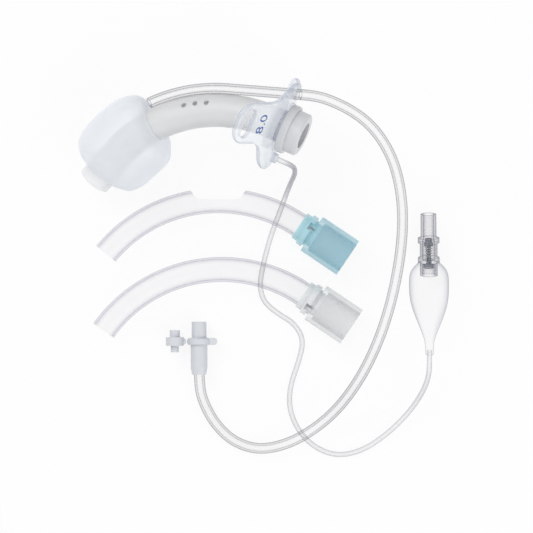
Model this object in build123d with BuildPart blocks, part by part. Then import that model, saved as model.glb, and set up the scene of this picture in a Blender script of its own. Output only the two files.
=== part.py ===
from build123d import *
import math
import os

# Outer cannula: a bent white tube with a straight run at each end
BORE_RADIUS = 4.9
SHAFT_WALL = 1.2
BEND_RADIUS = 54.0
DISTAL_TURN = 50.0
PROXIMAL_TURN = 21.0
TIP_RUN = 12.0
HUB_BACK = 3.0
TIP_ROUNDING = 0.45
VENT_RADIUS = 0.95
VENT_STATIONS = (4.3, 8.4, 12.5)
VENT_TURN = 37.0

# Cuff, blown from thin film and bonded to the shaft at both ends
CUFF_RADIUS = 15.5
CUFF_LENGTH = 27.0
CUFF_TO_TIP = 5.6
CUFF_FILM = 0.4
CUFF_NECK = 0.5
CUFF_SECTIONS = (-1.0, -0.97, -0.9, -0.78, -0.6, -0.35, 0.0, 0.35, 0.6, 0.78, 0.9, 0.97, 1.0)
CUFF_SQUARENESS = 3.4
CUFF_ROUNDNESS = 0.294
CUFF_REST = 0.256

# Neck flange, a soft clear plate bent back around the neck
FLANGE_HALF_SPAN = 34.77
FLANGE_WING_HEIGHT = 16.0
FLANGE_WING_RISE = 3.5
FLANGE_CENTRE_RADIUS = 17.0
FLANGE_THICKNESS = 2.4
FLANGE_BEND = 74.0
FLANGE_WAIST_FILLET = 11.0
FLANGE_CORNER_FILLET = 6.0
FLANGE_RIM_ROUNDING = 1.0
SLOT_WIDTH = 4.4
SLOT_LENGTH = 11.0
SLOT_MARGIN = 3.2
HUB_RADIUS = 9.6
HUB_FRONT = 1.6
GLAND_RADIUS = 1.8
GLAND_LENGTH = 2.0
GLAND_OFFSET = 12.0
GLAND_LEAD_OUT = 3.0

# Connector ring on the outer cannula
RING_RADIUS = 9.2
RING_LENGTH = 3.0
MOUTH_RADIUS = 8.0
MOUTH_LENGTH = 4.6
MOUTH_CHAMFER = 0.6
RING_FILLET = 0.5

# Suction channel on the back of the shaft, and the free suction line
SUCTION_RADIUS = 2.0
SUCTION_BORE = 1.2
SUCTION_START = 26.5
SUCTION_LIFT_OFF = -2.0
SUCTION_PAST_FLANGE = 3.0
SUCTION_LEAD_OUT = 6.0

# Inner cannulas and their 15 mm connectors
INNER_CLEARANCE = 0.25
INNER_WALL = 0.65
INNER_PROXIMAL_TURN = 34.0
FENESTRATED_TURN = 50.4
PLAIN_TURN = 54.4
INNER_SEAT = 6.0
SLEEVE_RADIUS = 5.4
SLEEVE_LENGTH = 5.5
SHOULDER_RADIUS = 6.2
SHOULDER_LENGTH = 2.2
GROOVE_RADIUS = 5.3
GROOVE_WIDTH = 0.9
CONE_RADIUS = 7.5
CONE_LENGTH = 16.0
CONE_BORE = 6.0
CONE_FLOOR = 2.0
NOTCH_WIDTH = 3.0
NOTCH_LENGTH = 2.6
BLUE_NOTCH_TURN = -20.0
WHITE_NOTCH_TURN = 30.0
WINDOW_LENGTH = 16.0
WINDOW_FLARE = 3.5
WINDOW_FLOOR = 0.45
WINDOW_FILLET = 2.0

# Suction port with its finger tab and tethered cap
PORT_BODY_RADIUS = 3.1
PORT_FOOT_RADIUS = 2.6
PORT_FOOT_LENGTH = 2.5
PORT_BODY_LENGTH = 11.0
PORT_SOCKET_DEPTH = 4.0
PORT_COLLAR_RADIUS = 4.4
PORT_COLLAR_LENGTH = 2.6
PORT_COLLAR_FILLET = 0.8
PORT_STUB_RADIUS = 2.75
PORT_STUB_LENGTH = 6.0
PORT_STUB_BORE = 1.6
PORT_LEAD_IN = 4.2
TAB_REACH = 6.7
TAB_WIDTH = 4.0
CAP_OFFSET = 9.0
CAP_RADIUS = 3.3
CAP_THICKNESS = 3.2
CAP_PLUG_RADIUS = 1.9
CAP_PLUG_LENGTH = 2.6
CAP_KNOB_RADIUS = 1.5
CAP_KNOB_LENGTH = 2.4
STRAP_WIDTH = 2.4
STRAP_THICKNESS = 1.4
STRAP_GAP = 0.35

# Pilot balloon and its spring check valve, measured along their axis from the balloon's neck
LINE_RADIUS = 0.95
LINE_BORE = 0.45
NECK_RADIUS = 1.6
NECK_LENGTH = 5.5
NECK_LEAD_IN = 3.4
NECK_SEAT = 2.0
BALLOON_RADIUS = 7.5
BALLOON_BELLY = 23.0
BALLOON_SHOULDER = 30.5
BALLOON_LENGTH = 35.0
BALLOON_FILM = 0.45
SPIGOT_RADIUS = 3.3
SPIGOT_LENGTH = 5.0
VALVE_RING_RADIUS = 4.05
VALVE_RING_LENGTH = 1.8
VALVE_BODY_LENGTH = 5.6
LUER_RADIUS = 2.95
LUER_BORE = 2.1
LUER_LENGTH = 9.0
CHAMBER_RADIUS = 2.5
SEAT_HOLE_RADIUS = 1.15
SEAT_THICKNESS = 1.8
STEM_RADIUS = 0.8
FOOT_RADIUS = 1.9
FOOT_THICKNESS = 1.2
HEAD_RADIUS = 1.75
HEAD_THICKNESS = 1.2
NOSE_RADIUS = 1.3
NOSE_LENGTH = 1.6
PLUNGER_PLAY = 0.1
SPRING_WIRE = 0.3
SPRING_RADIUS = 1.25
SPRING_TURNS = 5

# Fits between bonded pieces
GLUE_GAP = 0.03

# Where the pieces lie on the table, seen from above
CROWN_AT = (0.6, 36.3)
LEAN_BACK = 15.5
LEAN_OVER = 11.0
TABLE_GAP = 0.02
FENESTRATED_AT = (-1.1, 3.8)
PLAIN_AT = (0.3, -21.7)
PORT_AT = (-8.2, -60.7)
BALLOON_AT = (76.9, -53.3)

os.makedirs("parts", exist_ok=True)


def sin_deg(angle):
    return math.sin(math.radians(angle))


def cos_deg(angle):
    return math.cos(math.radians(angle))


# Frame of the outer cannula: local XY is the plane of its bend, with the crown of the bend at the origin
SHAFT_RADIUS = BORE_RADIUS + SHAFT_WALL
INNER_RADIUS = BORE_RADIUS - INNER_CLEARANCE
side_x = -sin_deg(LEAN_BACK)
side_y = -sin_deg(LEAN_OVER)
tube_side = Vector(side_x, side_y, math.sqrt(1 - side_x**2 - side_y**2))
tube_along = (Vector(1, 0, 0) - tube_side * tube_side.X).normalized()
tube_up = tube_side.cross(tube_along)
BEND_END = BEND_RADIUS * math.radians(DISTAL_TURN)


def on_bend(angle, radius):
    """A point of the bend plane, at an angle from the crown towards the tip."""
    return Vector(-radius * sin_deg(angle), radius * cos_deg(angle) - BEND_RADIUS)


def shaft_station(distance):
    """Point and tip-ward direction of the shaft's centreline, in the bend plane."""
    angle = math.degrees(min(distance, BEND_END) / BEND_RADIUS)
    heading = Vector(-cos_deg(angle), -sin_deg(angle))
    return on_bend(angle, BEND_RADIUS) + heading * max(0, distance - BEND_END), heading


cuff_centre = BEND_END + TIP_RUN - CUFF_TO_TIP - CUFF_LENGTH / 2
cuff_point, cuff_heading = shaft_station(cuff_centre)
cuff_dip = abs(cuff_heading.X * tube_along.Z + cuff_heading.Y * tube_up.Z)
cuff_reach = CUFF_RADIUS * math.sqrt(1 - cuff_dip**2) + CUFF_LENGTH * CUFF_REST * cuff_dip
crown_height = cuff_reach - cuff_point.X * tube_along.Z - cuff_point.Y * tube_up.Z + TABLE_GAP
TUBE = Plane(origin=(*CROWN_AT, crown_height), x_dir=tube_along, z_dir=tube_side)


def tube_plane(point, normal, x_dir=(0, 0, 1)):
    """A sketch plane given in the outer cannula's own frame."""
    return Plane(TUBE * Plane(origin=point, x_dir=x_dir, z_dir=normal))


def shaft_plane(distance):
    point, heading = shaft_station(distance)
    return tube_plane(point, heading)


# Flange frame: out is the way the connector points, rise is the way the bend's crown points
flange_out = Vector(cos_deg(PROXIMAL_TURN), -sin_deg(PROXIMAL_TURN))
flange_rise = Vector(sin_deg(PROXIMAL_TURN), cos_deg(PROXIMAL_TURN))
flange_point = on_bend(-PROXIMAL_TURN, BEND_RADIUS) + flange_out * HUB_BACK


def flange_plane(out):
    """The plane square to the connector, a distance out from the middle of the flange."""
    return tube_plane(flange_point + flange_out * out, flange_out, (0, 0, -1))


# Outer cannula
with BuildPart() as outer_cannula:
    tip_point = TUBE.from_local_coords(shaft_station(BEND_END + TIP_RUN)[0])
    bend_start = TUBE.from_local_coords(on_bend(DISTAL_TURN, BEND_RADIUS))
    bend_end = TUBE.from_local_coords(on_bend(-PROXIMAL_TURN, BEND_RADIUS))
    with BuildLine() as shaft_line:
        Line(tip_point, bend_start)
        ThreePointArc(bend_start, TUBE.origin, bend_end)
        Line(bend_end, TUBE.from_local_coords(flange_point + flange_out * HUB_FRONT))
    with BuildSketch(shaft_plane(BEND_END + TIP_RUN)):
        Circle(SHAFT_RADIUS)
        Circle(BORE_RADIUS, mode=Mode.SUBTRACT)
    sweep(path=shaft_line.line)
    for station in VENT_STATIONS:
        vent_point, vent_heading = shaft_station(station)
        outward = Vector(-vent_heading.Y, vent_heading.X) * -sin_deg(VENT_TURN)
        with BuildSketch(tube_plane(vent_point, outward + Vector(0, 0, cos_deg(VENT_TURN)), vent_heading)):
            Circle(VENT_RADIUS)
        extrude(amount=SHAFT_RADIUS + SHAFT_WALL, mode=Mode.SUBTRACT)
    tip_face = outer_cannula.faces().filter_by(GeomType.PLANE).sort_by_distance(tip_point)[0]
    fillet(tip_face.outer_wire().edges(), TIP_ROUNDING)
outer_cannula.part.label = "outer_cannula"
export_step(outer_cannula.part, "parts/outer_cannula.step")


# Cuff
def cuff_sections(half_length, neck, belly):
    """Circles along the shaft whose radii follow a rounded barrel."""
    sections = []
    for share in CUFF_SECTIONS:
        swell = (1 - abs(share) ** CUFF_SQUARENESS) ** CUFF_ROUNDNESS
        with BuildSketch(shaft_plane(cuff_centre + share * half_length)) as section:
            Circle(neck + (belly - neck) * swell)
        sections.append(section.sketch)
    return sections


with BuildPart() as cuff:
    neck_radius = SHAFT_RADIUS + CUFF_NECK
    loft(cuff_sections(CUFF_LENGTH / 2, neck_radius, CUFF_RADIUS))
    inside = cuff_sections(CUFF_LENGTH / 2 - CUFF_NECK, neck_radius - CUFF_FILM, CUFF_RADIUS - CUFF_FILM)
    loft(inside, mode=Mode.SUBTRACT)
    with BuildSketch(shaft_plane(BEND_END + TIP_RUN)):
        Circle(SHAFT_RADIUS + GLUE_GAP)
    sweep(path=shaft_line.line, mode=Mode.SUBTRACT)
cuff.part.label = "cuff"
export_step(cuff.part, "parts/cuff.step")


# Suction channel: bonded along the back of the shaft, then straight through the flange
channel_radius = BEND_RADIUS + SHAFT_RADIUS + SUCTION_RADIUS + GLUE_GAP
lift_point = on_bend(SUCTION_LIFT_OFF, channel_radius)
lift_heading = Vector(cos_deg(SUCTION_LIFT_OFF), sin_deg(SUCTION_LIFT_OFF))
to_flange = (flange_point - lift_point).dot(flange_out) / lift_heading.dot(flange_out)
channel_exit = lift_point + lift_heading * (to_flange + SUCTION_PAST_FLANGE)
with BuildPart() as suction_channel:
    channel_start = TUBE.from_local_coords(on_bend(SUCTION_START, channel_radius))
    channel_crown = TUBE.from_local_coords(on_bend(0, channel_radius))
    lift_off = TUBE.from_local_coords(lift_point)
    with BuildLine() as channel_line:
        ThreePointArc(channel_start, channel_crown, lift_off)
        Line(lift_off, TUBE.from_local_coords(channel_exit))
    start_heading = Vector(cos_deg(SUCTION_START), sin_deg(SUCTION_START))
    with BuildSketch(tube_plane(on_bend(SUCTION_START, channel_radius), start_heading)):
        Circle(SUCTION_RADIUS)
        Circle(SUCTION_BORE, mode=Mode.SUBTRACT)
    sweep(path=channel_line.line)
suction_channel.part.label = "suction_channel"
export_step(suction_channel.part, "parts/suction_channel.step")

# Neck flange: a bent plate cut to its outline, with a hub, two tie slots and a gland
wing_corner = FLANGE_HALF_SPAN - FLANGE_CORNER_FILLET
slot_at = FLANGE_HALF_SPAN - SLOT_MARGIN - SLOT_WIDTH / 2
with BuildPart() as neck_flange:
    with BuildSketch(tube_plane(flange_point, flange_rise)):
        with Locations((0, -FLANGE_BEND)):
            Circle(FLANGE_BEND + FLANGE_THICKNESS / 2)
            Circle(FLANGE_BEND - FLANGE_THICKNESS / 2, mode=Mode.SUBTRACT)
    extrude(amount=FLANGE_CENTRE_RADIUS * 1.2, both=True)
    with BuildSketch(flange_plane(0)) as flange_outline:
        with Locations((0, FLANGE_WING_RISE)):
            Rectangle(2 * FLANGE_HALF_SPAN, FLANGE_WING_HEIGHT)
        Circle(FLANGE_CENTRE_RADIUS)
        waist = flange_outline.vertices().filter_by_position(Axis.X, -wing_corner, wing_corner)
        fillet(waist, FLANGE_WAIST_FILLET)
        corners = flange_outline.vertices().group_by(Axis.X)
        fillet(corners[0] + corners[-1], FLANGE_CORNER_FILLET)
        with Locations((-slot_at, FLANGE_WING_RISE), (slot_at, FLANGE_WING_RISE)):
            SlotOverall(SLOT_LENGTH, SLOT_WIDTH, rotation=90, mode=Mode.SUBTRACT)
    extrude(amount=FLANGE_BEND / 2, both=True, mode=Mode.INTERSECT)
    rim = neck_flange.edges().filter_by(GeomType.LINE, reverse=True)
    fillet(rim, FLANGE_RIM_ROUNDING)
    with BuildSketch(flange_plane(-HUB_BACK)):
        Circle(HUB_RADIUS)
    extrude(amount=HUB_BACK + HUB_FRONT)
    with BuildSketch(flange_plane(0)):
        with Locations((0, -GLAND_OFFSET)):
            Circle(GLAND_RADIUS)
    extrude(amount=FLANGE_THICKNESS / 2 + GLAND_LENGTH)
    with BuildSketch(flange_plane(-HUB_BACK)):
        Circle(SHAFT_RADIUS + GLUE_GAP)
    extrude(amount=HUB_BACK + HUB_FRONT, mode=Mode.SUBTRACT)
    with BuildSketch(tube_plane(channel_exit, lift_heading)):
        Circle(SUCTION_RADIUS + GLUE_GAP)
    extrude(amount=-4 * HUB_BACK, mode=Mode.SUBTRACT)
neck_flange.part.label = "neck_flange"
export_step(neck_flange.part, "parts/neck_flange.step")

# Connector ring
with BuildPart() as tube_connector:
    with BuildSketch(flange_plane(HUB_FRONT)):
        Circle(RING_RADIUS)
    extrude(amount=RING_LENGTH)
    ring_edges = tube_connector.edges().filter_by(GeomType.CIRCLE)
    fillet(ring_edges, RING_FILLET)
    with BuildSketch(flange_plane(HUB_FRONT + RING_LENGTH)):
        Circle(MOUTH_RADIUS)
    extrude(amount=MOUTH_LENGTH)
    mouth_centre = flange_point + flange_out * (HUB_FRONT + RING_LENGTH + MOUTH_LENGTH)
    mouth_face = tube_connector.faces().filter_by(GeomType.PLANE).sort_by_distance(TUBE.from_local_coords(mouth_centre))[0]
    chamfer(mouth_face.edges(), MOUTH_CHAMFER)
    with BuildSketch(flange_plane(HUB_FRONT)):
        Circle(BORE_RADIUS)
    extrude(amount=RING_LENGTH + MOUTH_LENGTH, mode=Mode.SUBTRACT)
tube_connector.part.label = "tube_connector"
export_step(tube_connector.part, "parts/tube_connector.step")


# Inner cannulas: each lies on the tip of its tube and the edge of its connector
def cannula_plane(crown_at, distal_turn):
    tip_x = -BEND_RADIUS * sin_deg(distal_turn)
    cone_x = BEND_RADIUS * sin_deg(INNER_PROXIMAL_TURN) + SLEEVE_LENGTH * cos_deg(INNER_PROXIMAL_TURN)
    tilt = math.asin((CONE_RADIUS - INNER_RADIUS) / (cone_x - tip_x))
    height = INNER_RADIUS - tip_x * math.sin(tilt) + TABLE_GAP
    along = Vector(math.cos(tilt), 0, math.sin(tilt))
    return Plane(origin=(*crown_at, height), x_dir=along, z_dir=(-math.sin(tilt), 0, math.cos(tilt)))


inner_out = Vector(cos_deg(INNER_PROXIMAL_TURN), -sin_deg(INNER_PROXIMAL_TURN))
inner_end = on_bend(-INNER_PROXIMAL_TURN, BEND_RADIUS)
shoulder_end = SLEEVE_LENGTH - GROOVE_WIDTH


def inner_tube(lie, distal_turn, window):
    with BuildPart() as tube:
        seat_start = lie.from_local_coords(inner_end)
        with BuildLine() as line:
            ThreePointArc(lie.from_local_coords(on_bend(distal_turn, BEND_RADIUS)), lie.origin, seat_start)
            Line(seat_start, lie.from_local_coords(inner_end + inner_out * INNER_SEAT))
        heading = Vector(cos_deg(distal_turn), sin_deg(distal_turn))
        tip = Plane(origin=on_bend(distal_turn, BEND_RADIUS), x_dir=(0, 0, 1), z_dir=heading)
        with BuildSketch(Plane(lie * tip)):
            Circle(INNER_RADIUS)
            Circle(INNER_RADIUS - INNER_WALL, mode=Mode.SUBTRACT)
        sweep(path=line.line)
        if window:
            half = WINDOW_LENGTH / 2
            with BuildSketch(lie) as opening:
                with BuildLine():
                    Polyline(
                        (-half - WINDOW_FLARE, INNER_RADIUS + 1),
                        (-half, WINDOW_FLOOR),
                        (half, WINDOW_FLOOR),
                        (half + WINDOW_FLARE, INNER_RADIUS + 1),
                        close=True,
                    )
                make_face()
                fillet(opening.vertices().group_by(Axis.Y)[0], WINDOW_FILLET)
            extrude(amount=INNER_RADIUS + 1, both=True, mode=Mode.SUBTRACT)
    return tube


def cone_connector(lie, notch_turn):
    base = Plane(lie * Plane(origin=inner_end, x_dir=(0, 0, 1), z_dir=inner_out))
    with BuildPart() as connector:
        with BuildSketch(base):
            Circle(SLEEVE_RADIUS)
        extrude(amount=shoulder_end - SHOULDER_LENGTH)
        with BuildSketch(base.offset(shoulder_end - SHOULDER_LENGTH)):
            Circle(SHOULDER_RADIUS)
        extrude(amount=SHOULDER_LENGTH)
        with BuildSketch(base.offset(shoulder_end)):
            Circle(GROOVE_RADIUS)
        extrude(amount=GROOVE_WIDTH)
        with BuildSketch(base.offset(SLEEVE_LENGTH)):
            Circle(CONE_RADIUS)
        extrude(amount=CONE_LENGTH)
        with BuildSketch(base.offset(SLEEVE_LENGTH + CONE_FLOOR)):
            Circle(CONE_BORE)
        extrude(amount=CONE_LENGTH, mode=Mode.SUBTRACT)
        with BuildSketch(base):
            Circle(INNER_RADIUS + GLUE_GAP)
        extrude(amount=SLEEVE_LENGTH + CONE_FLOOR, mode=Mode.SUBTRACT)
        with BuildSketch(base.offset(SLEEVE_LENGTH - NOTCH_LENGTH)):
            with PolarLocations(SHOULDER_RADIUS, 1, start_angle=notch_turn):
                Rectangle(2 * (SHOULDER_RADIUS - INNER_RADIUS), NOTCH_WIDTH)
        extrude(amount=NOTCH_LENGTH, mode=Mode.SUBTRACT)
    return connector


fenestrated_lie = cannula_plane(FENESTRATED_AT, FENESTRATED_TURN)
plain_lie = cannula_plane(PLAIN_AT, PLAIN_TURN)

fenestrated_tube = inner_tube(fenestrated_lie, FENESTRATED_TURN, True)
fenestrated_tube.part.label = "fenestrated_tube"
export_step(fenestrated_tube.part, "parts/fenestrated_tube.step")

blue_connector = cone_connector(fenestrated_lie, BLUE_NOTCH_TURN)
blue_connector.part.label = "blue_connector"
export_step(blue_connector.part, "parts/blue_connector.step")

plain_tube = inner_tube(plain_lie, PLAIN_TURN, False)
plain_tube.part.label = "plain_tube"
export_step(plain_tube.part, "parts/plain_tube.step")

white_connector = cone_connector(plain_lie, WHITE_NOTCH_TURN)
white_connector.part.label = "white_connector"
export_step(white_connector.part, "parts/white_connector.step")

# Suction port: lies on its collar, with its axis along +Y
PORT = Plane(origin=(*PORT_AT, PORT_COLLAR_RADIUS + TABLE_GAP), x_dir=(1, 0, 0), z_dir=(0, 0, 1))
collar_end = PORT_BODY_LENGTH + PORT_COLLAR_LENGTH
port_axis = Axis(PORT.origin, (0, 1, 0))
with BuildPart() as suction_port:
    with BuildSketch(PORT) as port_outline:
        with BuildLine():
            Polyline(
                (0, 0),
                (PORT_FOOT_RADIUS, 0),
                (PORT_BODY_RADIUS, PORT_FOOT_LENGTH),
                (PORT_BODY_RADIUS, PORT_BODY_LENGTH),
                (PORT_COLLAR_RADIUS, PORT_BODY_LENGTH),
                (PORT_COLLAR_RADIUS, collar_end),
                (PORT_STUB_RADIUS, collar_end),
                (PORT_STUB_RADIUS, collar_end + PORT_STUB_LENGTH),
                (0, collar_end + PORT_STUB_LENGTH),
                close=True,
            )
        make_face()
        fillet(port_outline.vertices().group_by(Axis.X)[-1], PORT_COLLAR_FILLET)
    revolve(axis=port_axis)
    with BuildSketch(PORT):
        with Locations((TAB_REACH - TAB_WIDTH / 2, PORT_BODY_LENGTH + PORT_COLLAR_LENGTH / 2)):
            Rectangle(TAB_WIDTH, PORT_COLLAR_LENGTH)
    extrude(amount=TAB_WIDTH / 2, both=True)
    tab_edges = suction_port.edges().filter_by(Axis.Z).sort_by(Axis.X)[-2:]
    fillet(tab_edges, PORT_COLLAR_LENGTH * 0.45)
    with BuildSketch(PORT):
        with BuildLine():
            Polyline(
                (0, 0),
                (SUCTION_RADIUS + GLUE_GAP, 0),
                (SUCTION_RADIUS + GLUE_GAP, PORT_SOCKET_DEPTH),
                (SUCTION_BORE, PORT_SOCKET_DEPTH),
                (SUCTION_BORE, collar_end),
                (PORT_STUB_BORE, collar_end),
                (PORT_STUB_BORE, collar_end + PORT_STUB_LENGTH),
                (0, collar_end + PORT_STUB_LENGTH),
                close=True,
            )
        make_face()
    revolve(axis=port_axis, mode=Mode.SUBTRACT)
suction_port.part.label = "suction_port"
export_step(suction_port.part, "parts/suction_port.step")

# Port cap: a stopper with a pull knob, on a short strap beside the collar
cap_middle = PORT_BODY_LENGTH + PORT_COLLAR_LENGTH / 2
hinge_at = PORT_COLLAR_RADIUS + STRAP_GAP + STRAP_WIDTH / 2
CAP = Plane(origin=PORT.from_local_coords(Vector(-CAP_OFFSET, 0)), x_dir=(1, 0, 0), z_dir=(0, 0, 1))
cap_axis = Axis(CAP.origin, (0, 1, 0))
cap_top = cap_middle + CAP_THICKNESS / 2
cap_foot = cap_middle - CAP_THICKNESS / 2
with BuildPart() as port_cap:
    with BuildSketch(CAP):
        with BuildLine():
            Polyline(
                (0, cap_foot - CAP_KNOB_LENGTH),
                (CAP_KNOB_RADIUS, cap_foot - CAP_KNOB_LENGTH),
                (CAP_KNOB_RADIUS, cap_foot),
                (CAP_RADIUS, cap_foot),
                (CAP_RADIUS, cap_top),
                (CAP_PLUG_RADIUS, cap_top),
                (CAP_PLUG_RADIUS, cap_top + CAP_PLUG_LENGTH),
                (0, cap_top + CAP_PLUG_LENGTH),
                close=True,
            )
        make_face()
    revolve(axis=cap_axis)
    with BuildSketch(PORT):
        with Locations(((-CAP_OFFSET - hinge_at) / 2, cap_middle)):
            SlotCenterToCenter(CAP_OFFSET - hinge_at, STRAP_WIDTH)
    extrude(amount=STRAP_THICKNESS / 2, both=True)
port_cap.part.label = "port_cap"
export_step(port_cap.part, "parts/port_cap.step")

# Pilot balloon frame: local Y runs from the neck to the luer socket, and dips to the table
spigot_start = BALLOON_LENGTH - SPIGOT_LENGTH
ring_top = BALLOON_LENGTH + VALVE_RING_LENGTH
body_top = ring_top + VALVE_BODY_LENGTH
luer_start = body_top + VALVE_RING_LENGTH
luer_end = luer_start + LUER_LENGTH
balloon_dip = math.asin((BALLOON_RADIUS - LUER_RADIUS) / (luer_end - BALLOON_SHOULDER))
neck_height = BALLOON_RADIUS + BALLOON_SHOULDER * math.sin(balloon_dip) + TABLE_GAP
balloon_up = Vector(0, math.sin(balloon_dip), math.cos(balloon_dip))
PILOT = Plane(origin=(*BALLOON_AT, neck_height), x_dir=(1, 0, 0), z_dir=balloon_up)
pilot_heading = PILOT.y_dir
pilot_axis = Axis(PILOT.origin, pilot_heading)


def balloon_profile(radius, neck, mouth):
    """Half outline of the balloon, from its neck to its mouth."""
    with BuildSketch(PILOT) as profile:
        with BuildLine():
            neck_side = Line((neck, 0), (neck, NECK_LENGTH))
            belly = Line((radius, BALLOON_BELLY), (radius, BALLOON_SHOULDER))
            Spline(neck_side @ 1, belly @ 0, tangents=((0.42, 1), (0.05, 1)))
            Spline(belly @ 1, (mouth, BALLOON_LENGTH), tangents=((0, 1), (-1.2, 1)))
            Line((mouth, BALLOON_LENGTH), (0, BALLOON_LENGTH))
            Line((0, BALLOON_LENGTH), (0, 0))
            Line((0, 0), neck_side @ 0)
        make_face()
    return profile.sketch


# Pilot balloon
with BuildPart() as pilot_balloon:
    mouth_radius = SPIGOT_RADIUS + BALLOON_FILM
    revolve(balloon_profile(BALLOON_RADIUS, NECK_RADIUS, mouth_radius), axis=pilot_axis)
    inner_radius = BALLOON_RADIUS - BALLOON_FILM
    inside = balloon_profile(inner_radius, LINE_RADIUS + GLUE_GAP, SPIGOT_RADIUS + GLUE_GAP)
    revolve(inside, axis=pilot_axis, mode=Mode.SUBTRACT)
pilot_balloon.part.label = "pilot_balloon"
export_step(pilot_balloon.part, "parts/pilot_balloon.step")

# Valve housing
seat_top = BALLOON_LENGTH + SEAT_THICKNESS / 2
seat_foot = BALLOON_LENGTH - SEAT_THICKNESS / 2
with BuildPart() as valve_housing:
    with BuildSketch(PILOT):
        with BuildLine():
            Polyline(
                (0, spigot_start),
                (SPIGOT_RADIUS, spigot_start),
                (SPIGOT_RADIUS, BALLOON_LENGTH),
                (VALVE_RING_RADIUS, BALLOON_LENGTH),
                (VALVE_RING_RADIUS, ring_top),
                (SPIGOT_RADIUS, ring_top),
                (SPIGOT_RADIUS, body_top),
                (VALVE_RING_RADIUS, body_top),
                (VALVE_RING_RADIUS, luer_start),
                (LUER_RADIUS, luer_start),
                (LUER_RADIUS, luer_end),
                (0, luer_end),
                close=True,
            )
        make_face()
    revolve(axis=pilot_axis)
    with BuildSketch(PILOT):
        with BuildLine():
            Polyline(
                (0, spigot_start),
                (CHAMBER_RADIUS, spigot_start),
                (CHAMBER_RADIUS, seat_foot),
                (SEAT_HOLE_RADIUS, seat_foot),
                (SEAT_HOLE_RADIUS, seat_top),
                (CHAMBER_RADIUS, seat_top),
                (CHAMBER_RADIUS, body_top),
                (LUER_BORE, luer_start),
                (LUER_BORE, luer_end),
                (0, luer_end),
                close=True,
            )
        make_face()
    revolve(axis=pilot_axis, mode=Mode.SUBTRACT)
valve_housing.part.label = "valve_housing"
export_step(valve_housing.part, "parts/valve_housing.step")

# Valve plunger: its foot seals under the seat, its nose meets the syringe
foot_top = seat_foot - PLUNGER_PLAY
head_foot = body_top - HEAD_THICKNESS
nose_end = body_top + NOSE_LENGTH
with BuildPart() as valve_plunger:
    with BuildSketch(PILOT):
        with BuildLine():
            Polyline(
                (0, foot_top - FOOT_THICKNESS),
                (FOOT_RADIUS, foot_top - FOOT_THICKNESS),
                (FOOT_RADIUS, foot_top),
                (STEM_RADIUS, foot_top),
                (STEM_RADIUS, head_foot),
                (HEAD_RADIUS, head_foot),
                (HEAD_RADIUS, body_top),
                (NOSE_RADIUS, body_top),
                (NOSE_RADIUS, nose_end),
                (0, nose_end),
                close=True,
            )
        make_face()
    revolve(axis=pilot_axis)
valve_plunger.part.label = "valve_plunger"
export_step(valve_plunger.part, "parts/valve_plunger.step")

# Valve spring: between the top of the seat and the plunger's head
spring_start = seat_top + SPRING_WIRE / 2 + PLUNGER_PLAY
spring_height = head_foot - SPRING_WIRE / 2 - PLUNGER_PLAY - spring_start
with BuildPart() as valve_spring:
    spring_foot = PILOT.from_local_coords(Vector(0, spring_start))
    with BuildLine() as coil:
        Helix(spring_height / SPRING_TURNS, spring_height, SPRING_RADIUS, spring_foot, pilot_heading)
    with BuildSketch(Plane(origin=coil.line @ 0, z_dir=coil.line % 0)):
        Circle(SPRING_WIRE / 2)
    sweep(path=coil.line)
valve_spring.part.label = "valve_spring"
export_step(valve_spring.part, "parts/valve_spring.step")


# Free lines: hand-chosen points with arcs as large as the runs allow
def route_radii(points):
    radii = []
    for before, here, after in zip(points, points[1:], points[2:]):
        turn = (here - before).get_angle(after - here)
        shorter = min((here - before).length, (after - here).length)
        radii.append(0.45 * shorter / math.tan(math.radians(turn) / 2))
    return radii


def free_line(points, radius, bore):
    radii = route_radii(points)
    with BuildPart() as line:
        with BuildLine() as route:
            FilletPolyline(*points, radius=radii)
        with BuildSketch(Plane(origin=points[0], z_dir=points[1] - points[0])):
            Circle(radius)
            Circle(bore, mode=Mode.SUBTRACT)
        sweep(path=route.wires()[0])
    length = route.wires()[0].length
    section = math.pi * (radius**2 - bore**2)
    print("line", round(length, 1), "mm, volume", round(line.part.volume / (section * length), 4), "of the section")
    print("  radii", [round(r, 1) for r in radii])
    print("  points", [tuple(round(v, 2) for v in p) for p in points])
    return line


channel_end = TUBE.from_local_coords(channel_exit)
channel_heading = TUBE.from_local_coords(channel_exit + lift_heading) - channel_end
SUCTION_ROUTE = [
    channel_end,
    channel_end + channel_heading * SUCTION_LEAD_OUT,
    Vector(41.4, 39.0, 39.6),
    Vector(47.8, 35.8, 39.2),
    Vector(53.6, 31.6, 38.2),
    Vector(58.6, 25.8, 36.8),
    Vector(62.6, 18.5, 35.0),
    Vector(65.2, 9.8, 33.0),
    Vector(66.5, -0.4, 31.0),
    Vector(66.2, -11.9, 28.9),
    Vector(64.4, -24.4, 26.7),
    Vector(61.4, -37.5, 24.4),
    Vector(56.9, -50.4, 21.6),
    Vector(50.9, -62.5, 16.6),
    Vector(43.3, -73.1, 10.4),
    Vector(35.1, -80.5, 6.2),
    Vector(25.4, -86.2, 4.7),
    Vector(14.4, -88.8, 2.7),
    Vector(4.8, -85.9, 2.05),
    Vector(-2.1, -79.4, 2.05),
    Vector(-6.4, -71.6, 2.9),
    PORT.from_local_coords(Vector(0, -PORT_LEAD_IN)),
    PORT.from_local_coords(Vector(0, PORT_SOCKET_DEPTH)),
]
suction_line = free_line(SUCTION_ROUTE, SUCTION_RADIUS, SUCTION_BORE)
suction_line.part.label = "suction_line"
export_step(suction_line.part, "parts/suction_line.step")

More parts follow.
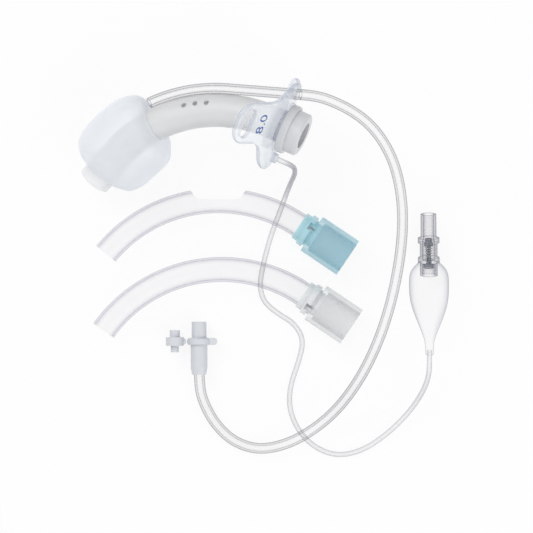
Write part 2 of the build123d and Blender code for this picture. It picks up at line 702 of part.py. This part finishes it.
gland_foot = flange_point - flange_rise * GLAND_OFFSET
gland_face = gland_foot + flange_out * (FLANGE_THICKNESS / 2 + GLAND_LENGTH)
gland_end = TUBE.from_local_coords(gland_face)
gland_heading = TUBE.from_local_coords(gland_face + flange_out) - gland_end
INFLATION_ROUTE = [
    gland_end,
    gland_end + gland_heading * GLAND_LEAD_OUT,
    Vector(26.5, 16.0, 28.0),
    Vector(27.3, 14.6, 23.6),
    Vector(27.0, 12.8, 17.6),
    Vector(26.0, 10.8, 11.6),
    Vector(24.8, 8.0, 6.2),
    Vector(23.4, 4.4, 2.2),
    Vector(21.8, -0.2, 1.0),
    Vector(19.7, -5.6, 1.0),
    Vector(17.6, -11.9, 1.0),
    Vector(15.5, -20.2, 1.0),
    Vector(14.2, -27.4, 1.0),
    Vector(15.6, -33.6, 1.0),
    Vector(20.8, -38.0, 1.0),
    Vector(27.0, -41.6, 1.0),
    Vector(30.7, -47.8, 1.0),
    Vector(28.8, -55.9, 1.0),
    Vector(25.7, -64.4, 1.0),
    Vector(25.1, -72.6, 1.0),
    Vector(27.8, -80.4, 1.0),
    Vector(33.8, -87.4, 1.0),
    Vector(42.6, -91.1, 1.0),
    Vector(52.3, -89.2, 1.0),
    Vector(61.8, -82.8, 1.2),
    Vector(69.4, -75.1, 3.6),
    Vector(74.2, -67.9, 8.4),
    Vector(76.5, -61.9, 12.4),
    PILOT.origin - pilot_heading * NECK_LEAD_IN,
    PILOT.origin + pilot_heading * NECK_SEAT,
]
inflation_line = free_line(INFLATION_ROUTE, LINE_RADIUS, LINE_BORE)
inflation_line.part.label = "inflation_line"
export_step(inflation_line.part, "parts/inflation_line.step")
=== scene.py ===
# %% [markdown]
# A tracheostomy tube laid out on a white table, with its two inner cannulas taken out beside it.
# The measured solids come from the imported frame. This lesson gives them their plastics and replaces
# the four soft pieces, two free lines and two blown films, with forms that a solid can't give.

# %% Load the measured frame
import math

import bmesh
import bpy
from mathutils import Matrix, Vector


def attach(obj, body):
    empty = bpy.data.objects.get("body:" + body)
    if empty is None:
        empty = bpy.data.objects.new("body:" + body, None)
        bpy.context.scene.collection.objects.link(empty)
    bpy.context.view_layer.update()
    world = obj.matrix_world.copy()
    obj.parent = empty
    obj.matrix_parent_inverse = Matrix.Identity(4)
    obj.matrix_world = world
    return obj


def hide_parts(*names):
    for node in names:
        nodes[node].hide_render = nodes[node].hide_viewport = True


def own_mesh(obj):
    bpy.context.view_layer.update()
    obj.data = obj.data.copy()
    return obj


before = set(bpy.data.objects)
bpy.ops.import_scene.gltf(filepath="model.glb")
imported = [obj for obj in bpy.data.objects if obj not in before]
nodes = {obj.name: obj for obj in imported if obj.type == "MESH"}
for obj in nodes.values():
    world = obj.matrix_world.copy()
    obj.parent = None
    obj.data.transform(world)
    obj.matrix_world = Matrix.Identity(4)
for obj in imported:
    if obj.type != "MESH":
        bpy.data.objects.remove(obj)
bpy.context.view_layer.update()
MM = 0.001

# %% [markdown]
# The set lies flat and is seen from straight above. A long lens keeps the tall flange from looking
# bigger than the flat pieces, as in a catalogue picture, so the camera stands far off.

# %% Camera above the table
LOOK_AT = (16.8 * MM, -20.6 * MM)
VIEW_WIDTH = 197.2 * MM
CAMERA_HEIGHT = 1.5
WIDTH_MEASURED_AT = 0.008
SENSOR = 36.0

lens = bpy.data.cameras.new("table_camera")
lens.sensor_width = SENSOR
lens.lens = SENSOR * (CAMERA_HEIGHT - WIDTH_MEASURED_AT) / VIEW_WIDTH
camera = bpy.data.objects.new("table_camera", lens)
camera.location = (*LOOK_AT, CAMERA_HEIGHT)
bpy.context.scene.collection.objects.link(camera)
bpy.context.scene.camera = camera
print("lens", round(lens.lens, 1), "mm")

# %% [markdown]
# A cord is a fixed length of something soft, so each line is one smooth curve with listed control
# points. A NURBS spline passes near its points without following every corner, which is how a soft tube
# rounds a bend. Both lines are clear and show their narrow bore, so a second, thinner curve runs inside.

# %% Control points of the two lines, in millimetres
SUCTION_POINTS = [
    (29.24, 41.72, 38.48), (35.01, 41.19, 40.01), (41.4, 39.0, 39.6), (47.8, 35.8, 39.2),
    (53.6, 31.6, 38.2), (58.6, 25.8, 36.8), (62.6, 18.5, 35.0), (65.2, 9.8, 33.0),
    (66.5, -0.4, 31.0), (66.2, -11.9, 28.9), (64.4, -24.4, 26.7), (61.4, -37.5, 24.4),
    (56.9, -50.4, 21.6), (50.9, -62.5, 16.6), (43.3, -73.1, 10.4), (35.1, -80.5, 6.2),
    (25.4, -86.2, 4.7), (14.4, -88.8, 2.7), (4.8, -85.9, 2.05), (-2.1, -79.4, 2.05),
    (-6.4, -71.6, 2.9), (-8.2, -64.9, 4.42), (-8.2, -56.7, 4.42),
]
INFLATION_POINTS = [
    (20.68, 18.52, 31.37), (23.38, 17.32, 31.89), (26.5, 16.0, 28.0), (27.3, 14.6, 23.6),
    (27.0, 12.8, 17.6), (26.0, 10.8, 11.6), (24.8, 8.0, 6.2), (23.4, 4.4, 2.2),
    (21.8, -0.2, 1.0), (19.7, -5.6, 1.0), (17.6, -11.9, 1.0), (15.5, -20.2, 1.0),
    (14.2, -27.4, 1.0), (15.6, -33.6, 1.0), (20.8, -38.0, 1.0), (27.0, -41.6, 1.0),
    (30.7, -47.8, 1.0), (28.8, -55.9, 1.0), (25.7, -64.4, 1.0), (25.1, -72.6, 1.0),
    (27.8, -80.4, 1.0), (33.8, -87.4, 1.0), (42.6, -91.1, 1.0), (52.3, -89.2, 1.0),
    (61.8, -82.8, 1.2), (69.4, -75.1, 3.6), (74.2, -67.9, 8.4), (76.5, -61.9, 12.4),
    (76.9, -56.63, 14.31), (76.9, -51.34, 13.23),
]
SUCTION_RADIUS = 2.0
SUCTION_BORE = 1.2
INFLATION_RADIUS = 0.95
INFLATION_BORE = 0.45
LINE_STEPS = 10
LINE_ROUNDNESS = 6


def soft_line(name, points, radius):
    """One open NURBS tube through the air and over the table."""
    curve = bpy.data.curves.new(name, "CURVE")
    curve.dimensions = "3D"
    spline = curve.splines.new("NURBS")
    spline.points.add(len(points) - 1)
    for control, point in zip(spline.points, points):
        control.co = (*(v * MM for v in point), 1.0)
        control.radius = radius * MM
    spline.order_u = 3
    spline.use_endpoint_u = True
    spline.resolution_u = LINE_STEPS
    curve.bevel_depth = 1.0
    curve.bevel_resolution = LINE_ROUNDNESS
    line = bpy.data.objects.new(name, curve)
    bpy.context.scene.collection.objects.link(line)
    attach(line, "set")
    return line


# %% The lines and their bores
suction_line = soft_line("suction_tubing", SUCTION_POINTS, SUCTION_RADIUS)
suction_lumen = soft_line("suction_lumen", SUCTION_POINTS, SUCTION_BORE)
inflation_line = soft_line("inflation_tubing", INFLATION_POINTS, INFLATION_RADIUS)
inflation_lumen = soft_line("inflation_lumen", INFLATION_POINTS, INFLATION_BORE)
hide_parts("suction_line")
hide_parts("inflation_line")
print("points", len(SUCTION_POINTS), "and", len(INFLATION_POINTS))

# %% [markdown]
# The cuff and the pilot balloon are films blown in a mould. Each starts as half an outline, spun round
# its axis into a closed skin, with gathered pleats where the film is drawn in to its neck. A subdivision
# surface then rounds the coarse cage, as air does in the film.


# %% A film spun from half an outline
def spun_film(name, outline, steps):
    """A closed skin of (distance along the axis, radius) points, spun about X."""
    mesh = bmesh.new()
    chain = [mesh.verts.new((along * MM, radius * MM, 0)) for along, radius in outline]
    for a, b in zip(chain, chain[1:]):
        mesh.edges.new((a, b))
    bmesh.ops.spin(
        mesh, geom=mesh.verts[:] + mesh.edges[:], cent=(0, 0, 0), axis=(1, 0, 0),
        angle=math.tau, steps=steps, use_merge=True,
    )
    bmesh.ops.remove_doubles(mesh, verts=mesh.verts, dist=1e-6)
    bmesh.ops.recalc_face_normals(mesh, faces=mesh.faces)
    for face in mesh.faces:
        face.smooth = True
    data = bpy.data.meshes.new(name)
    mesh.to_mesh(data)
    mesh.free()
    film = bpy.data.objects.new(name, data)
    bpy.context.scene.collection.objects.link(film)
    return film


def gather(film, first, last, pleats, depth):
    """Pleats that fade from one end of a stretch of the film to the other."""
    for vertex in film.data.vertices:
        share = (vertex.co.x / MM - first) / (last - first)
        if 0 <= share <= 1:
            turn = math.atan2(vertex.co.z, vertex.co.y)
            fold = 1 - depth * math.sin(math.pi * share) * (0.5 + 0.5 * math.cos(pleats * turn))
            vertex.co.y *= fold
            vertex.co.z *= fold


# %% [markdown]
# The shaft inside the cuff is bent, so the cuff can't stay a straight barrel. Its points are carried
# from the straight axis to the arc of the shaft, which is known from the frame's own bend.

# %% Cuff
CROWN = Vector((0.6, 36.3, 29.2832)) * MM
BEND_ALONG = Vector((0.96363, -0.05292, 0.26195))
BEND_UP = Vector((0.0, 0.9802, 0.19801))
BEND_SIDE = Vector((-0.26724, -0.19081, 0.94455))
BEND_RADIUS = 54.0 * MM
DISTAL_TURN = math.radians(50)
CUFF_CENTRE = 40.02
CUFF_OUTLINE = [
    (-13.3, 6.14), (-13.45, 7.4), (-13.25, 10.3), (-12.4, 12.6), (-10.5, 14.3),
    (-7.6, 15.2), (-3.8, 15.4), (0, 15.45), (3.8, 15.4), (7.6, 15.2),
    (10.5, 14.3), (12.4, 12.6), (13.25, 10.3), (13.45, 7.4), (13.3, 6.14),
]


def onto_shaft(film):
    """Carry a film from the straight X axis to the bent shaft."""
    for vertex in film.data.vertices:
        distance = vertex.co.x + CUFF_CENTRE * MM
        angle = min(distance / BEND_RADIUS, DISTAL_TURN)
        heading = -BEND_ALONG * math.cos(angle) - BEND_UP * math.sin(angle)
        outward = -BEND_ALONG * math.sin(angle) + BEND_UP * math.cos(angle)
        centre = CROWN - BEND_UP * BEND_RADIUS + outward * BEND_RADIUS
        centre += heading * (distance - angle * BEND_RADIUS)
        vertex.co = centre + outward * vertex.co.y + BEND_SIDE * vertex.co.z


cuff = spun_film("cuff_film", CUFF_OUTLINE, steps=48)
gather(cuff, first=-13.6, last=-9.0, pleats=12, depth=0.035)
gather(cuff, first=13.6, last=9.0, pleats=12, depth=0.035)
onto_shaft(cuff)
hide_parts("cuff")

# %% Pilot balloon
PILOT_NECK = Vector((76.9, -53.3, 13.63344)) * MM
PILOT_HEADING = Vector((0, 0.97971, -0.20044))
PILOT_UP = Vector((0, 0.20044, 0.97971))
BALLOON_OUTLINE = [
    (0.05, 1.0), (0.05, 1.6), (2.8, 1.62), (5.4, 1.75), (8.6, 3.0),
    (13.0, 4.85), (17.6, 6.55), (22.0, 7.4), (26.6, 7.48), (30.2, 7.4),
    (32.4, 6.4), (34.0, 4.9), (34.9, 3.85), (34.95, 3.4),
]

balloon = spun_film("balloon_film", BALLOON_OUTLINE, steps=40)
gather(balloon, first=4.0, last=20.0, pleats=5, depth=0.06)
balloon.data.transform(
    Matrix.Translation(PILOT_NECK)
    @ Matrix((PILOT_HEADING, PILOT_UP.cross(PILOT_HEADING), PILOT_UP)).transposed().to_4x4()
)
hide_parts("pilot_balloon")

for film in (cuff, balloon):
    rounding = film.modifiers.new("rounding", "SUBSURF")
    rounding.levels = 2
    rounding.render_levels = 2
    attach(film, "set")
    print(film.name, len(film.data.vertices), "cage points")

# %% [markdown]
# The size stands on the wing nearest the camera. A text curve is made a mesh, then its points are laid
# on the bent front face of the flange, so that the ink follows the plate from every side.

# %% Size mark on the wing
LEAN_COS = 0.93358
LEAN_SIN = 0.35837
FLANGE_FORWARD = 22.15261
FLANGE_DROP = 4.66176
FLANGE_OUT = BEND_ALONG * LEAN_COS - BEND_UP * LEAN_SIN
FLANGE_RISE = BEND_ALONG * LEAN_SIN + BEND_UP * LEAN_COS
FLANGE_MIDDLE = CROWN + (BEND_ALONG * FLANGE_FORWARD - BEND_UP * FLANGE_DROP) * MM
FLANGE_BEND = 74.0 * MM
WING_RISE = 3.5 * MM
INK_LIFT = 1.23 * MM
MARK_AT = 20.4 * MM
MARK_HEIGHT = 6.4 * MM

mark_curve = bpy.data.curves.new("size_mark", "FONT")
mark_curve.body = "8.0"
mark_curve.size = MARK_HEIGHT
mark_curve.align_x = "CENTER"
mark_curve.resolution_u = 3
mark_source = bpy.data.objects.new("size_mark_text", mark_curve)
mark_mesh = bpy.data.meshes.new_from_object(mark_source)
bpy.data.objects.remove(mark_source)
mark = bpy.data.objects.new("size_mark", mark_mesh)
bpy.context.scene.collection.objects.link(mark)
reach = FLANGE_BEND + INK_LIFT
for vertex in mark_mesh.vertices:
    turn = (vertex.co.y + MARK_AT) / FLANGE_BEND
    place = FLANGE_MIDDLE + FLANGE_OUT * (reach * math.cos(turn) - FLANGE_BEND)
    vertex.co = place + BEND_SIDE * (reach * math.sin(turn)) + FLANGE_RISE * (vertex.co.x + WING_RISE)
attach(mark, "set")
print("mark", len(mark_mesh.polygons), "faces")

# %% [markdown]
# Moulded and drawn plastics are never quite even. One node group gives every finish the same fine grain,
# with its own scale: a slow drift for tone and gloss, and a fine one for the bump.

# %% The shared grain of moulded plastic
SLOW_SCALE = 60
SLOW_DETAIL = 3
FINE_DETAIL = 4
RELIEF_DEPTH = 0.0002

grain = bpy.data.node_groups.new("moulded_grain", "ShaderNodeTree")
grain.interface.new_socket("Scale", in_out="INPUT", socket_type="NodeSocketFloat")
grain.interface.new_socket("Drift", in_out="OUTPUT", socket_type="NodeSocketFloat")
grain.interface.new_socket("Height", in_out="OUTPUT", socket_type="NodeSocketFloat")
group_in = grain.nodes.new("NodeGroupInput")
group_out = grain.nodes.new("NodeGroupOutput")
coordinates = grain.nodes.new("ShaderNodeTexCoord")
slow = grain.nodes.new("ShaderNodeTexNoise")
slow.inputs["Scale"].default_value = SLOW_SCALE
slow.inputs["Detail"].default_value = SLOW_DETAIL
fine = grain.nodes.new("ShaderNodeTexNoise")
fine.inputs["Detail"].default_value = FINE_DETAIL
grain.links.new(coordinates.outputs["Object"], slow.inputs["Vector"])
grain.links.new(coordinates.outputs["Object"], fine.inputs["Vector"])
grain.links.new(group_in.outputs["Scale"], fine.inputs["Scale"])
grain.links.new(slow.outputs["Fac"], group_out.inputs["Drift"])
grain.links.new(fine.outputs["Fac"], group_out.inputs["Height"])


def plastic(name, tone, other_tone, gloss, bump=0.04, scale=900.0):
    """A material whose tone and gloss drift a little over the piece."""
    material = bpy.data.materials.new(name)
    material.use_nodes = True
    tree = material.node_tree
    shader = tree.nodes["Principled BSDF"]
    texture = tree.nodes.new("ShaderNodeGroup")
    texture.node_tree = grain
    texture.inputs["Scale"].default_value = scale
    colour = tree.nodes.new("ShaderNodeMix")
    colour.data_type = "RGBA"
    colour.inputs["A"].default_value = (*tone, 1)
    colour.inputs["B"].default_value = (*other_tone, 1)
    rough = tree.nodes.new("ShaderNodeMapRange")
    rough.inputs["To Min"].default_value = gloss[0]
    rough.inputs["To Max"].default_value = gloss[1]
    relief = tree.nodes.new("ShaderNodeBump")
    relief.inputs["Strength"].default_value = bump
    relief.inputs["Distance"].default_value = RELIEF_DEPTH
    tree.links.new(texture.outputs["Drift"], colour.inputs["Factor"])
    tree.links.new(texture.outputs["Drift"], rough.inputs["Value"])
    tree.links.new(texture.outputs["Height"], relief.inputs["Height"])
    tree.links.new(colour.outputs["Result"], shader.inputs["Base Color"])
    tree.links.new(rough.outputs["Result"], shader.inputs["Roughness"])
    tree.links.new(relief.outputs["Normal"], shader.inputs["Normal"])
    return material


def see_through(material, face_on, edge_on, narrow):
    """Let light through where the wall is met head on, and less where it is met along its edge."""
    tree = material.node_tree
    shader = tree.nodes["Principled BSDF"]
    edge = tree.nodes.new("ShaderNodeLayerWeight")
    rim = tree.nodes.new("ShaderNodeMath")
    rim.operation = "POWER"
    rim.inputs[1].default_value = narrow
    cover = tree.nodes.new("ShaderNodeMapRange")
    cover.inputs["To Min"].default_value = face_on
    cover.inputs["To Max"].default_value = edge_on
    tree.links.new(edge.outputs["Facing"], rim.inputs[0])
    tree.links.new(rim.outputs[0], cover.inputs["Value"])
    tree.links.new(cover.outputs["Result"], shader.inputs["Alpha"])
    return material


# %% [markdown]
# The shaft and its connector are white and satin, the port is a harder grey-white, and the rest of the
# set is clear or milky. Light enters the white shaft a little way, which softens its shading. Clear soft
# plastic looks pale in the middle and grey along its edges, because there the eye looks through much more
# of the wall.

# %% Finishes
LIGHT_DEPTH = 0.005

satin_white = plastic("satin_white", (0.865, 0.90, 0.94), (0.90, 0.925, 0.955), (0.38, 0.5))
fitting_white = plastic("fitting_white", (0.63, 0.64, 0.66), (0.69, 0.70, 0.72), (0.3, 0.42))
port_white = plastic("port_white", (0.60, 0.62, 0.66), (0.66, 0.68, 0.71), (0.35, 0.5))
shaft_inside = satin_white.node_tree.nodes["Principled BSDF"].inputs
shaft_inside["Subsurface Weight"].default_value = 1.0
shaft_inside["Subsurface Radius"].default_value = (1.0, 1.0, 1.0)
shaft_inside["Subsurface Scale"].default_value = LIGHT_DEPTH
frosted_film = see_through(
    plastic("frosted_film", (0.86, 0.89, 0.94), (0.90, 0.925, 0.965), (0.42, 0.6), bump=0.03, scale=500),
    face_on=0.5, edge_on=0.92, narrow=2.0,
)
soft_clear = see_through(
    plastic("soft_clear", (0.91, 0.95, 0.99), (0.94, 0.97, 1.0), (0.08, 0.16)),
    face_on=0.28, edge_on=0.7, narrow=2.2,
)
# Painted shade: a darker copy of the flange's clear plastic, for its narrow edge.
rim_painted_shade = see_through(
    plastic("rim_painted_shade", (0.46, 0.50, 0.62), (0.52, 0.56, 0.68), (0.08, 0.16)),
    face_on=0.3, edge_on=0.9, narrow=1.5,
)
tube_clear = see_through(
    plastic("tube_clear", (0.36, 0.36, 0.48), (0.44, 0.44, 0.55), (0.06, 0.14), bump=0.01),
    face_on=0.022, edge_on=0.8, narrow=2.5,
)
line_clear = see_through(
    plastic("line_clear", (0.13, 0.13, 0.17), (0.18, 0.18, 0.22), (0.08, 0.18), bump=0.005),
    face_on=0.02, edge_on=0.92, narrow=1.7,
)
line_bore = see_through(
    plastic("line_bore", (0.08, 0.08, 0.11), (0.12, 0.12, 0.15), (0.2, 0.3), bump=0.005),
    face_on=0.01, edge_on=0.85, narrow=2.2,
)
thin_clear = see_through(
    plastic("thin_clear", (0.34, 0.34, 0.40), (0.40, 0.40, 0.46), (0.1, 0.2), bump=0.005),
    face_on=0.05, edge_on=0.85, narrow=1.3,
)
thin_bore = see_through(
    plastic("thin_bore", (0.34, 0.34, 0.40), (0.40, 0.40, 0.46), (0.2, 0.3), bump=0.005),
    face_on=0.02, edge_on=0.5, narrow=2.0,
)
balloon_clear = see_through(
    plastic("balloon_clear", (0.16, 0.19, 0.28), (0.22, 0.25, 0.34), (0.04, 0.1), bump=0.02, scale=260),
    face_on=0.03, edge_on=0.95, narrow=3.0,
)
valve_clear = see_through(
    plastic("valve_clear", (0.20, 0.21, 0.28), (0.25, 0.26, 0.33), (0.06, 0.14), bump=0.01),
    face_on=0.06, edge_on=0.95, narrow=1.5,
)
aqua_clear = see_through(
    plastic("aqua_clear", (0.36, 0.72, 0.84), (0.42, 0.77, 0.88), (0.12, 0.22)),
    face_on=0.28, edge_on=0.95, narrow=1.5,
)
# Painted shade: a darker copy of the blue cone's plastic, for the faces of its bore.
aqua_bore_shade = see_through(
    plastic("aqua_bore_shade", (0.09, 0.32, 0.44), (0.13, 0.37, 0.49), (0.12, 0.22)),
    face_on=0.4, edge_on=0.7, narrow=1.5,
)
milky_clear = see_through(
    plastic("milky_clear", (0.84, 0.86, 0.88), (0.89, 0.91, 0.92), (0.14, 0.26)),
    face_on=0.13, edge_on=0.95, narrow=1.5,
)
# Painted shade: a darker copy of the white cone's plastic, for the faces of its bore.
milky_bore_shade = see_through(
    plastic("milky_bore_shade", (0.50, 0.51, 0.53), (0.56, 0.57, 0.59), (0.14, 0.26)),
    face_on=0.26, edge_on=0.8, narrow=1.5,
)
# Painted light: a lighter, more opaque copy of the blue cone's plastic for its sleeve, over the shade of the
# layers inside.
aqua_sleeve_lit = see_through(
    plastic("aqua_sleeve_lit", (0.54, 0.86, 0.94), (0.59, 0.89, 0.96), (0.12, 0.22)),
    face_on=0.6, edge_on=0.9, narrow=1.5,
)
# Painted light: a lighter, more opaque copy of the white cone's plastic for its sleeve, over the shade of
# the layers inside.
milky_sleeve_lit = see_through(
    plastic("milky_sleeve_lit", (0.90, 0.92, 0.94), (0.93, 0.95, 0.96), (0.14, 0.26)),
    face_on=0.68, edge_on=0.95, narrow=1.5,
)
plunger_grey = plastic("plunger_grey", (0.22, 0.23, 0.26), (0.28, 0.29, 0.32), (0.35, 0.5))
spring_steel = plastic("spring_steel", (0.42, 0.43, 0.45), (0.5, 0.5, 0.52), (0.22, 0.32))
spring_steel.node_tree.nodes["Principled BSDF"].inputs["Metallic"].default_value = 1.0
blue_ink = plastic("blue_ink", (0.012, 0.08, 0.34), (0.02, 0.11, 0.4), (0.4, 0.5))

FINISHES = {
    "outer_cannula": satin_white,
    "tube_connector": fitting_white,
    "suction_channel": line_clear,
    "neck_flange": soft_clear,
    "fenestrated_tube": tube_clear,
    "plain_tube": tube_clear,
    "blue_connector": aqua_clear,
    "white_connector": milky_clear,
    "suction_port": port_white,
    "port_cap": port_white,
    "valve_housing": valve_clear,
    "valve_plunger": plunger_grey,
    "valve_spring": spring_steel,
}
PIECE_FINISHES = [
    (suction_line, line_clear, "clear_line"),
    (suction_lumen, line_bore, "clear_line"),
    (inflation_line, thin_clear, "clear_line"),
    (inflation_lumen, thin_bore, "clear_line"),
    (cuff, frosted_film, "cuff_film"),
    (balloon, balloon_clear, "balloon_film"),
    (mark, blue_ink, "white_tube"),
]

for name, finish in FINISHES.items():
    nodes[name].data.materials.clear()
    nodes[name].data.materials.append(finish)
for piece, finish, slot in PIECE_FINISHES:
    piece.data.materials.clear()
    piece.data.materials.append(finish)
print("finishes", len(FINISHES) + len(PIECE_FINISHES))

# %% [markdown]
# The moulded clear pieces need more than one tone, and these tones are painted light and shade. The faces of
# a cone's bore take a darker copy of its plastic, painted shade for the band seen through the wall; the
# sleeve that grips the tube takes a lighter, more opaque copy, painted light over the shade of the layers
# inside it;
# and the narrow edge of the flange takes a darker copy, painted shade along the edge. The faces are chosen
# by where they are and where they look.

# %% Painted shade and painted light on the cones, painted shade on the flange's edge
CONES = [
    (
        nodes["blue_connector"].data, aqua_bore_shade, aqua_sleeve_lit,
        Vector((40.26, -12.981, 7.768)) * MM, Vector((0.82846, -0.559193, 0.030941)),
    ),
    (
        nodes["white_connector"].data, milky_bore_shade, milky_sleeve_lit,
        Vector((41.661, -38.481, 7.76)) * MM, Vector((0.828493, -0.559193, 0.030036)),
    ),
]
HALF_CONE = 8.0 * MM
BORE_SHADE = 1
SLEEVE_LIGHT = 2
EDGE_SHADE = 1
BORE_NEAR = 5.6 * MM
BORE_FAR = 6.2 * MM
EDGE_LOOKS_ACROSS = 0.6

# The faces of each cone's bore take its painted shade.
for cone, bore_shade_finish, sleeve_lit_finish, middle, axis in CONES:
    cone.materials.append(bore_shade_finish)
    cone.materials.append(sleeve_lit_finish)
    for face in cone.polygons:
        offset = face.center - middle
        along = offset.dot(axis)
        outwards = offset - axis * along
        # The faces of the sleeve take painted light.
        if along < -HALF_CONE:
            face.material_index = SLEEVE_LIGHT
        elif BORE_NEAR < outwards.length < BORE_FAR and face.normal.dot(outwards) < 0:
            face.material_index = BORE_SHADE

# The faces that look across the plate, the flange's narrow edge, take painted shade.
flange = nodes["neck_flange"].data
flange.materials.append(rim_painted_shade)
for face in flange.polygons:
    offset = face.center - FLANGE_MIDDLE + FLANGE_OUT * FLANGE_BEND
    plate_normal = (FLANGE_OUT * offset.dot(FLANGE_OUT) + BEND_SIDE * offset.dot(BEND_SIDE)).normalized()
    if abs(face.normal.dot(plate_normal)) < EDGE_LOOKS_ACROSS:
        face.material_index = EDGE_SHADE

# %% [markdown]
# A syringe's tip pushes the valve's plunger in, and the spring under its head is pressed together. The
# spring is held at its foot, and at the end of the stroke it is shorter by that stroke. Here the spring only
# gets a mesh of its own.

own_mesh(nodes["valve_spring"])

# %% [markdown]
# The suction line ends in its port, and the inflation line in the balloon with its valve.

# %% [markdown]
# The table is white and the light is soft from every side, with one lamp from the upper left and a slightly
# weaker one from the lower right. The camera, and what shows in gloss, sees the table nearly white while a
# little of its real shade is kept, so that the set still stands on its own faint shadow.

# %% Table and light
FLOOR_SIZE = 6.0
FLOOR_LIFT = 0.88
ROOM_LIGHT = 0.55
ROOM_SEEN = 1.0

floor_mesh = bmesh.new()
bmesh.ops.create_grid(floor_mesh, x_segments=1, y_segments=1, size=FLOOR_SIZE)
floor_data = bpy.data.meshes.new("table_top")
floor_mesh.to_mesh(floor_data)
floor_mesh.free()
floor = bpy.data.objects.new("table_top", floor_data)
bpy.context.scene.collection.objects.link(floor)


def seen_rays(tree):
    """One where the camera, gloss or clear plastic looks, and zero where light only bounces."""
    rays = tree.nodes.new("ShaderNodeLightPath")
    first = tree.nodes.new("ShaderNodeMath")
    first.operation = "MAXIMUM"
    both = tree.nodes.new("ShaderNodeMath")
    both.operation = "MAXIMUM"
    tree.links.new(rays.outputs["Is Camera Ray"], first.inputs[0])
    tree.links.new(rays.outputs["Is Glossy Ray"], first.inputs[1])
    tree.links.new(first.outputs[0], both.inputs[0])
    tree.links.new(rays.outputs["Is Transmission Ray"], both.inputs[1])
    return both.outputs[0]


white_table = bpy.data.materials.new("white_table")
white_table.use_nodes = True
tree = white_table.node_tree
table_shader = tree.nodes["Principled BSDF"]
table_shader.inputs["Base Color"].default_value = (0.86, 0.86, 0.87, 1)
table_shader.inputs["Roughness"].default_value = 0.8
glow = tree.nodes.new("ShaderNodeEmission")
glow.inputs["Strength"].default_value = 1.0
share = tree.nodes.new("ShaderNodeMath")
share.operation = "MULTIPLY"
share.inputs[1].default_value = FLOOR_LIFT
surface = tree.nodes.new("ShaderNodeMixShader")
tree.links.new(seen_rays(tree), share.inputs[0])
tree.links.new(share.outputs[0], surface.inputs["Fac"])
tree.links.new(table_shader.outputs[0], surface.inputs[1])
tree.links.new(glow.outputs[0], surface.inputs[2])
tree.links.new(surface.outputs[0], tree.nodes["Material Output"].inputs["Surface"])
floor_data.materials.append(white_table)

world = bpy.data.worlds.new("soft_room")
bpy.context.scene.world = world
world.use_nodes = True
room = world.node_tree
sky = room.nodes["Background"]
sky.inputs["Color"].default_value = (1, 1, 1, 1)
level = room.nodes.new("ShaderNodeMapRange")
level.inputs["To Min"].default_value = ROOM_LIGHT
level.inputs["To Max"].default_value = ROOM_SEEN
room.links.new(seen_rays(room), level.inputs["Value"])
room.links.new(level.outputs["Result"], sky.inputs["Strength"])


def soft_lamp(name, at, power, size):
    """A square lamp that faces the middle of the set."""
    lamp = bpy.data.lights.new(name, "AREA")
    lamp.energy = power
    lamp.size = size
    holder = bpy.data.objects.new(name, lamp)
    holder.location = at
    holder.rotation_euler = (Vector((*LOOK_AT, 0)) - holder.location).to_track_quat("-Z", "Y").to_euler()
    bpy.context.scene.collection.objects.link(holder)


soft_lamp("window", at=(-0.55, 0.5, 0.9), power=5.8, size=0.7)
soft_lamp("bounce", at=(0.6, -0.6, 0.7), power=4.8, size=0.9)

# %% [markdown]
# Standard view transform shows a colour as it is written.

# %% Finish
bpy.context.scene.view_settings.view_transform = "Standard"
